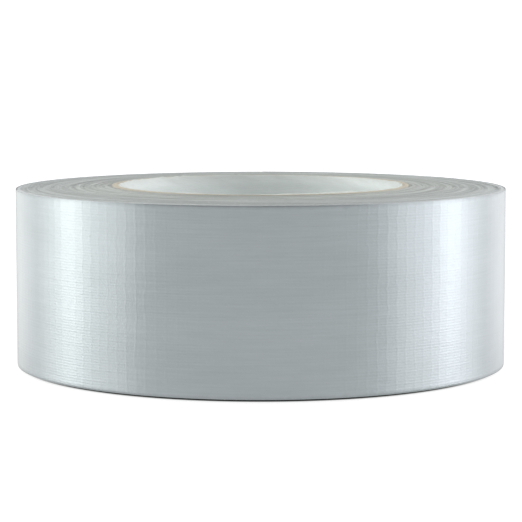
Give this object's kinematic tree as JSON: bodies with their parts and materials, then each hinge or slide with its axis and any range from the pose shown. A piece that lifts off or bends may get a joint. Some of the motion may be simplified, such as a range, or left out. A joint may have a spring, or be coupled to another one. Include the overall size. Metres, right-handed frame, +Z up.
{
  "type": "duct tape roll",
  "caption": "Full roll of silver cloth tape wound in a spiral on a paper core, with a free end that peels off the outside.",
  "frame": {"origin": "on the axis of the bore, in the plane of the core's lower end, where the roll stands", "axes": "+Z up along the roll's axis; the tape ends at +Y, at the back of the pictured view"},
  "size_m": [0.1326, 0.1327, 0.049],
  "materials": {
    "film": "satin",
    "scrim": "matte",
    "adhesive": "matte",
    "tape_edges": "matte",
    "liner_paper": "matte",
    "core_board": "matte",
    "wrap_paper": "matte"
  },
  "bodies": {
    "roll": {"core_liner": "liner_paper", "core_board_1": "core_board", "core_board_2": "core_board", "core_board_3": "core_board", "core_wrap": "wrap_paper", "wound_tape": "tape_edges", "outer_lap_adhesive": "adhesive", "outer_lap_scrim": "scrim", "outer_lap_film": "film"},
    "end_1": {"end_1_adhesive": "adhesive", "end_1_scrim": "scrim", "end_1_film": "film"},
    "end_2": {"end_2_adhesive": "adhesive", "end_2_scrim": "scrim", "end_2_film": "film"},
    "end_3": {"end_3_adhesive": "adhesive", "end_3_scrim": "scrim", "end_3_film": "film"},
    "end_4": {"end_4_adhesive": "adhesive", "end_4_scrim": "scrim", "end_4_film": "film"},
    "end_5": {"end_5_adhesive": "adhesive", "end_5_scrim": "scrim", "end_5_film": "film"}
  },
  "joints": [
    {"name": "peel", "type": "hinge", "parent": "roll", "child": "end_1", "pos_m": [0.04297, 0.05067, 0.0245], "axis": [0, 0, -1], "range_deg": [0, 90]},
    {"name": "uncurl_2", "type": "hinge", "parent": "end_1", "child": "end_2", "pos_m": [0.03551, 0.05616, 0.0245], "axis": [0, 0, -1], "range_deg": [0, 8]},
    {"name": "uncurl_3", "type": "hinge", "parent": "end_2", "child": "end_3", "pos_m": [0.02735, 0.06056, 0.0245], "axis": [0, 0, -1], "range_deg": [0, 8]},
    {"name": "uncurl_4", "type": "hinge", "parent": "end_3", "child": "end_4", "pos_m": [0.01866, 0.06377, 0.0245], "axis": [0, 0, -1], "range_deg": [0, 8]},
    {"name": "uncurl_5", "type": "hinge", "parent": "end_4", "child": "end_5", "pos_m": [0.00961, 0.06575, 0.0245], "axis": [0, 0, -1], "range_deg": [0, 8]}
  ],
  "couplings": [
    {"joint": "uncurl_2", "follows": "peel", "ratio": 0.08888},
    {"joint": "uncurl_3", "follows": "peel", "ratio": 0.08888},
    {"joint": "uncurl_4", "follows": "peel", "ratio": 0.08888},
    {"joint": "uncurl_5", "follows": "peel", "ratio": 0.08888}
  ]
}
